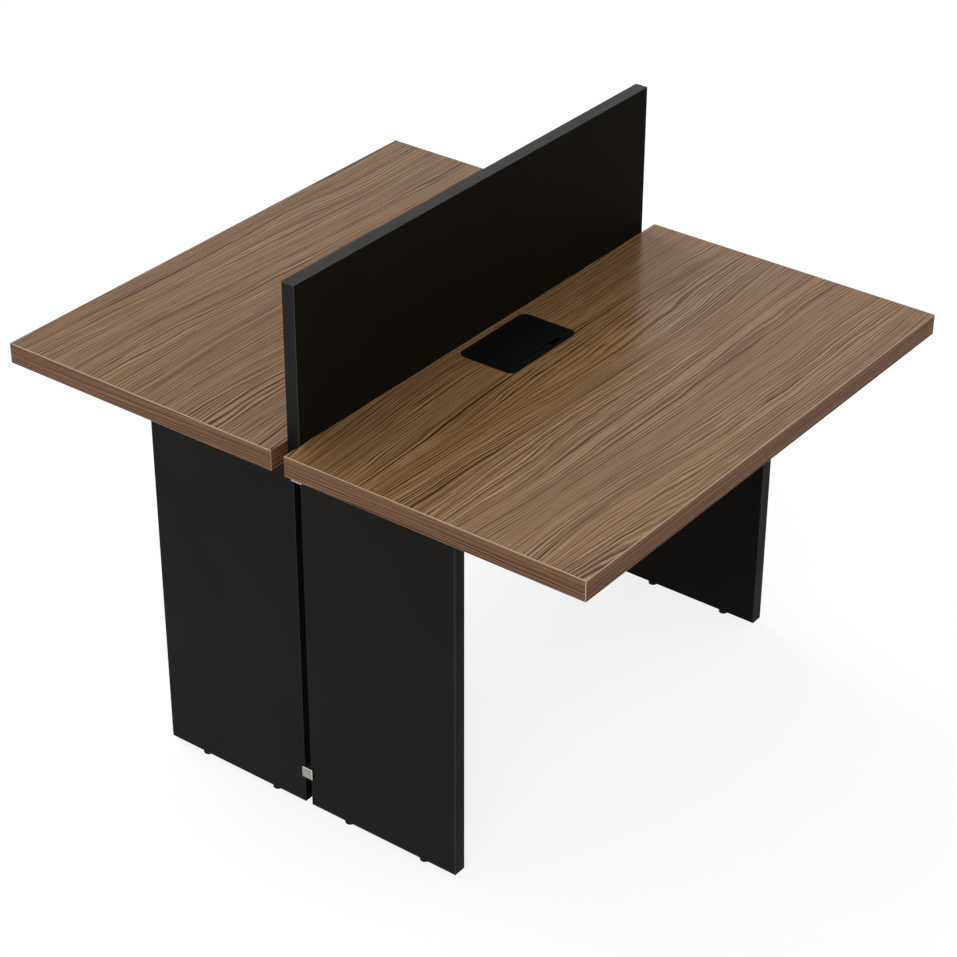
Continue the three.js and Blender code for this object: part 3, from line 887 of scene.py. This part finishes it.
def screws(name, seats):
    """Screw heads on their seats, each a point, an outward direction and a turn of the recess."""
    bm = bmesh.new()
    for spot, outward, turn in seats:
        copy = SCREW_HEAD.copy()
        stand = Vector(outward).to_track_quat("Z", "Y").to_matrix().to_4x4()
        copy.transform(Matrix.Translation(spot) @ stand @ Matrix.Rotation(turn, 4, "Z"))
        bm.from_mesh(copy)
        bpy.data.meshes.remove(copy)
    piece = link(name, to_mesh(name, bm), ZINC)
    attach(piece, "desk")


def bracket(place, end):
    """An angle of bent strip, with two screws up into the worktop and two into the leg panel."""
    node = f"{place}_{end}_leg_bracket"
    low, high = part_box(node)
    inward = -1.0 if low.x > 0 else 1.0
    leaf = high.x - low.x
    edge = BRACKET_EDGE_RADIUS
    outline = filleted([
        (0.0, 0.0, BRACKET_BEND + BRACKET_THICKNESS / 2),
        (0.0, -leaf, edge),
        (BRACKET_THICKNESS, -leaf, edge),
        (BRACKET_THICKNESS, -BRACKET_THICKNESS, BRACKET_BEND),
        (leaf, -BRACKET_THICKNESS, edge),
        (leaf, 0.0, edge),
    ])
    half = (high.y - low.y) / 2
    root = Vector((low.x if inward > 0 else high.x, (low.y + high.y) / 2, high.z))
    spin = Matrix.Rotation(0.0 if inward > 0 else math.pi, 4, "Z")
    stand = Matrix.Translation(root) @ spin @ Matrix.Rotation(math.pi / 2, 4, "X")
    dress(node, prism_mesh("bracket", [outline], -half, half, BRACKET_EASE, BRACKET_EASE, stand), ZINC)
    seats = []
    for i, offset in enumerate((-BRACKET_SCREW_SPACING / 2, BRACKET_SCREW_SPACING / 2)):
        under = root + Vector((inward * BRACKET_SCREW_REACH, offset, -BRACKET_THICKNESS))
        beside = root + Vector((inward * BRACKET_THICKNESS, offset, -BRACKET_SCREW_REACH))
        seats.append((under, (0.0, 0.0, -1.0), 0.4 + i))
        seats.append((beside, (inward, 0.0, 0.0), 0.9 + 2 * i))
    screws(f"{place}_{end}_bracket_screws", seats)


def bridging_plate(end):
    node = f"{end}_bridging_plate"
    low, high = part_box(node)
    centre = (low + high) / 2
    outline = rectangle(high.x - low.x, high.y - low.y, PLATE_RADIUS, (centre.x, centre.y))
    dress(node, prism_mesh("plate", [outline], low.z, high.z, PLATE_EASE, JOINT_EASE), ZINC)
    seats = []
    for i in (-1, 1):
        for j in (-1, 1):
            spot = Vector((centre.x + i * PLATE_SCREW_LENGTHWISE, j * PLATE_SCREW_CROSSWISE, low.z))
            seats.append((spot, (0.0, 0.0, -1.0), 0.7 * i + 0.3 * j))
    screws(f"{end}_plate_screws", seats)


def clip(end, level):
    """A short H-shaped piece, whose lips hold the two leg panels of an end."""
    node = f"{end}_{level}_clip"
    low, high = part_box(node)
    outside = (high.x - low.x) / 2
    inside = outside - CLIP_FLANGE
    lip = (high.y - low.y) / 2
    web = lip - CLIP_LIP - CLIP_CLEARANCE
    face, inner = CLIP_FACE_RADIUS, CLIP_INNER_RADIUS
    half = [
        (outside, -lip, face), (outside, lip, face), (inside, lip, face), (inside, web, inner),
        (-inside, web, inner), (-inside, lip, face),
    ]
    outline = filleted(half + [(-x, -y, radius) for x, y, radius in half])
    centre = (low + high) / 2
    place = Matrix.Translation((centre.x, centre.y, 0.0))
    dress(node, prism_mesh("clip", [outline], low.z, high.z, CLIP_EASE, CLIP_EASE, place), CLIP_METAL)


# Divider and modesty panels

def divider():
    dress("divider_board", board_mesh("divider", *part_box("divider_board")), BLACK_DIVIDER_PAINTED_REFLECTION)
    sides = ("+y", "-y")
    top = board_mesh("band", *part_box("divider_top_band"), [("+z", s) for s in (*sides, "+x", "-x")], THIN_BAND_ARRIS)
    dress("divider_top_band", top, BLACK_TOP_BAND)
    for end, face in (("left", "-x"), ("right", "+x")):
        node = f"divider_{end}_band"
        dress(node, board_mesh("band", *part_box(node), [(face, s) for s in sides], THIN_BAND_ARRIS), BLACK_END_BAND)


def modesty_panel(place):
    node = f"{place}_modesty_panel"
    dress(node, board_mesh("panel", *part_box(node), ease=PANEL_EASE), BLACK_BOARD)


for place, user_side in (("near", -1), ("far", 1)):
    worktop(place, user_side)
    port_frame(place, user_side)
    port_lid(place, user_side)
    modesty_panel(place)
    for end in ("left", "right"):
        leg(place, end, user_side)
        bracket(place, end)
divider()
for end in ("left", "right"):
    bridging_plate(end)
    for level in ("lower", "upper"):
        clip(end, level)


# Floor, world and lamps

def shown_rays(nodes, links):
    """One for camera, glossy and transmission rays, and zero for the light that falls on the desk."""
    path = nodes.new("ShaderNodeLightPath")
    total = path.outputs["Is Camera Ray"]
    for name in ("Is Glossy Ray", "Is Transmission Ray"):
        add = nodes.new("ShaderNodeMath")
        add.operation = "MAXIMUM"
        links.new(total, add.inputs[0])
        links.new(path.outputs[name], add.inputs[1])
        total = add.outputs["Value"]
    return total


def floor_material():
    material = bpy.data.materials.new("pale_floor")
    material.use_nodes = True
    nodes, links = material.node_tree.nodes, material.node_tree.links
    nodes.clear()
    bounce = nodes.new("ShaderNodeBsdfDiffuse")
    bounce.inputs["Color"].default_value = (FLOOR_BOUNCE, FLOOR_BOUNCE, FLOOR_BOUNCE, 1.0)
    shade = nodes.new("ShaderNodeBsdfDiffuse")
    shade.inputs["Color"].default_value = (FLOOR_SHADE, FLOOR_SHADE, FLOOR_SHADE, 1.0)
    white = nodes.new("ShaderNodeEmission")
    white.inputs["Strength"].default_value = FLOOR_WHITE
    seen = nodes.new("ShaderNodeAddShader")
    links.new(shade.outputs[0], seen.inputs[0])
    links.new(white.outputs[0], seen.inputs[1])
    choose = nodes.new("ShaderNodeMixShader")
    links.new(shown_rays(nodes, links), choose.inputs[0])
    links.new(bounce.outputs[0], choose.inputs[1])
    links.new(seen.outputs[0], choose.inputs[2])
    output = nodes.new("ShaderNodeOutputMaterial")
    links.new(choose.outputs[0], output.inputs["Surface"])
    return material


def floor():
    half = FLOOR_SIZE / 2
    mesh = bpy.data.meshes.new("floor")
    corners = [(-half, -half, 0.0), (half, -half, 0.0), (half, half, 0.0), (-half, half, 0.0)]
    mesh.from_pydata(corners, [], [(0, 1, 2, 3)])
    mesh.materials.append(floor_material())
    ground = bpy.data.objects.new("floor", mesh)
    scene.collection.objects.link(ground)


def dome():
    world = bpy.data.worlds.new("white_dome")
    scene.world = world
    world.use_nodes = True
    nodes, links = world.node_tree.nodes, world.node_tree.links
    nodes.clear()
    light = nodes.new("ShaderNodeBackground")
    light.inputs["Strength"].default_value = DOME_LEVEL
    white = nodes.new("ShaderNodeBackground")
    for background in (light, white):
        background.inputs["Color"].default_value = (1.0, 1.0, 1.0, 1.0)
    choose = nodes.new("ShaderNodeMixShader")
    links.new(shown_rays(nodes, links), choose.inputs[0])
    links.new(light.outputs[0], choose.inputs[1])
    links.new(white.outputs[0], choose.inputs[2])
    output = nodes.new("ShaderNodeOutputWorld")
    links.new(choose.outputs[0], output.inputs["Surface"])


def softbox(name, direction, distance, width, height, radiance):
    """A square lamp of even radiance, aimed at the desk."""
    lamp = bpy.data.lights.new(name, "AREA")
    lamp.shape = "RECTANGLE"
    lamp.size = width
    lamp.size_y = height
    lamp.energy = radiance * math.pi * width * height
    holder = bpy.data.objects.new(name, lamp)
    outward = Vector(direction).normalized()
    holder.location = CAMERA_TARGET + outward * distance
    holder.rotation_mode = "QUATERNION"
    holder.rotation_quaternion = (-outward).to_track_quat("-Z", "Y")
    holder.visible_camera = False
    scene.collection.objects.link(holder)


def camera():
    data = bpy.data.cameras.new("camera")
    data.sensor_width = SENSOR_WIDTH
    data.lens = SENSOR_WIDTH * FOCAL_PIXELS / IMAGE_PIXELS
    data.clip_end = 4 * FLOOR_SIZE
    holder = bpy.data.objects.new("camera", data)
    level = math.cos(CAMERA_ELEVATION)
    back = Vector((
        math.sin(CAMERA_AZIMUTH) * level, -math.cos(CAMERA_AZIMUTH) * level, math.sin(CAMERA_ELEVATION),
    ))
    holder.location = CAMERA_TARGET + back * CAMERA_DISTANCE
    aim = (-back).to_track_quat("-Z", "Y").to_matrix().to_4x4()
    holder.rotation_euler = (aim @ Matrix.Rotation(CAMERA_ROLL, 4, "Z")).to_euler()
    scene.collection.objects.link(holder)
    scene.camera = holder


floor()
dome()
softbox("key_softbox", (0.08, 0.55, 0.83), 20.0, 7.2, 7.2, 6.2)
softbox("fill_softbox", (-0.75, -0.30, 0.59), 6.0, 3.0, 2.4, 3.2)
camera()
scene.view_settings.view_transform = "Standard"
